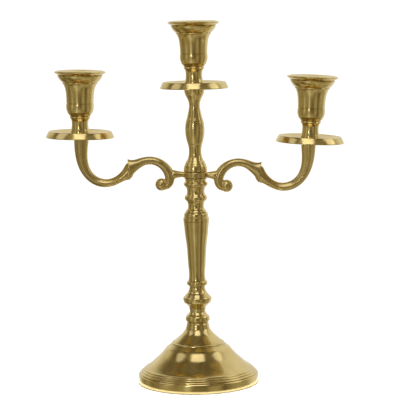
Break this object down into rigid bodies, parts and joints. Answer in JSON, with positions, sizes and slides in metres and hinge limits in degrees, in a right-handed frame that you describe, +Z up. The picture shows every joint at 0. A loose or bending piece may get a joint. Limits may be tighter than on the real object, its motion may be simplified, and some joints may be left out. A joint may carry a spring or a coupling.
{
  "type": "tabletop candelabra",
  "caption": "Tabletop candelabra in polished brass: turned stem on a round domed base, S-shaped arms, drip pans and bell-shaped candle cups.",
  "frame": {"origin": "centre of the base's underside, on the column axis, where it meets the table", "axes": "+Z up along the column, +X from the left arm to the right arm, +Y away from the front"},
  "size_m": [0.3012, 0.123, 0.3686],
  "materials": {
    "polished_brass": "turned and polished",
    "cast_brass": "cast, filed and buffed",
    "zinc_plated_steel": "zinc plated"
  },
  "bodies": {
    "stem": {"base": "polished_brass", "foot_ring": "polished_brass", "knop": "polished_brass", "shaft": "polished_brass", "collar": "polished_brass", "upper_stem": "polished_brass", "tie_rod": "zinc_plated_steel", "base_washer": "zinc_plated_steel", "lock_washer": "zinc_plated_steel", "base_nut": "zinc_plated_steel", "centre_stud": "zinc_plated_steel"},
    "arms": {"arm_casting": "cast_brass", "left_stud": "zinc_plated_steel", "right_stud": "zinc_plated_steel"},
    "centre_cup": {"centre_cup": "polished_brass"},
    "centre_pan": {"centre_pan": "polished_brass"},
    "left_cup": {"left_cup": "polished_brass"},
    "left_pan": {"left_pan": "polished_brass"},
    "right_cup": {"right_cup": "polished_brass"},
    "right_pan": {"right_pan": "polished_brass"}
  },
  "joints": [
    {"name": "arms_swivel", "type": "hinge", "parent": "stem", "child": "arms", "pos_m": [0, 0, 0.21325], "axis": [0, 0, 1], "continuous": true},
    {"name": "centre_cup_lift", "type": "slide", "parent": "stem", "child": "centre_cup", "axis": [0, 0, 1], "range_m": [0, 0.04]},
    {"name": "centre_pan_lift", "type": "slide", "parent": "stem", "child": "centre_pan", "axis": [0, 0, 1], "range_m": [0, 0.02]},
    {"name": "left_cup_lift", "type": "slide", "parent": "arms", "child": "left_cup", "axis": [0.0192, 0, 0.9998], "range_m": [0, 0.04]},
    {"name": "left_pan_lift", "type": "slide", "parent": "arms", "child": "left_pan", "axis": [0.0192, 0, 0.9998], "range_m": [0, 0.02]},
    {"name": "right_cup_lift", "type": "slide", "parent": "arms", "child": "right_cup", "axis": [0.0506, 0, 0.9987], "range_m": [0, 0.04]},
    {"name": "right_pan_lift", "type": "slide", "parent": "arms", "child": "right_pan", "axis": [0.0506, 0, 0.9987], "range_m": [0, 0.02]}
  ],
  "couplings": [
    {"joint": "centre_pan_lift", "follows": "centre_cup_lift", "ratio": 0.5},
    {"joint": "left_pan_lift", "follows": "left_cup_lift", "ratio": 0.5},
    {"joint": "right_pan_lift", "follows": "right_cup_lift", "ratio": 0.5}
  ]
}
